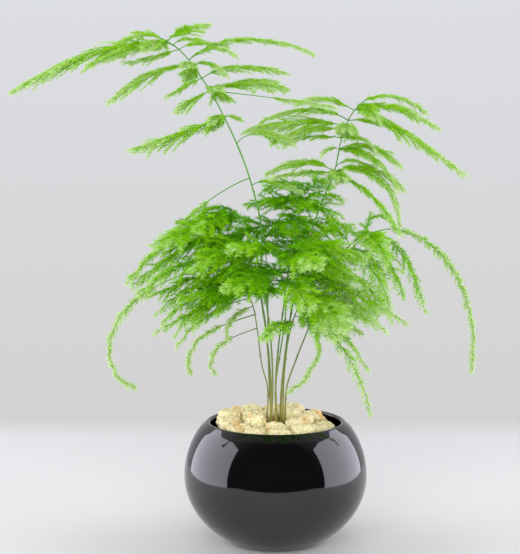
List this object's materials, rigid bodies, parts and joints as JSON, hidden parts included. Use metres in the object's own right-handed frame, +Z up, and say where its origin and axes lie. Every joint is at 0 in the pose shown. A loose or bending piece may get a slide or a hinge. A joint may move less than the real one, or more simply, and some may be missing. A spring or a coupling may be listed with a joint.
{
  "type": "potted lace fern",
  "caption": "Lace fern with arching feathery fronds on thin stems, standing in soil and pale stones in a round glazed bowl.",
  "frame": {"origin": "centre of the bowl's flat foot, on the surface it stands on", "axes": "+Z up through the bowl and the plant, +X to the right as seen from the front, -Y towards the viewer"},
  "size_m": [0.2977, 0.1985, 0.3392],
  "materials": {
    "glaze": "black gloss glaze",
    "soil": "dark crumbly potting soil",
    "stones": "rough cream tuff",
    "tall_left_leaf": "soft matt green",
    "tall_right_leaf": "soft matt green",
    "right_leaf": "soft matt green",
    "low_right_leaf": "soft matt green",
    "left_leaf": "soft matt green",
    "low_left_leaf": "soft matt green",
    "middle_leaf": "soft matt green",
    "front_leaf": "soft matt green",
    "back_leaf": "soft matt green"
  },
  "bodies": {
    "root": {"bowl": "glaze", "soil": "soil", "stone_01": "stones", "stone_02": "stones", "stone_03": "stones", "stone_04": "stones", "stone_05": "stones", "stone_06": "stones", "stone_07": "stones", "stone_08": "stones", "stone_09": "stones", "stone_10": "stones", "stone_11": "stones", "stone_12": "stones", "stone_13": "stones", "stone_14": "stones", "stone_15": "stones", "stone_16": "stones", "stone_17": "stones", "stone_18": "stones", "stone_19": "stones", "stone_20": "stones", "stone_21": "stones", "tall_left": "tall_left_leaf", "tall_right": "tall_right_leaf", "right": "right_leaf", "low_right": "low_right_leaf", "left": "left_leaf", "low_left": "low_left_leaf", "middle": "middle_leaf", "front": "front_leaf", "back": "back_leaf"}
  },
  "joints": []
}
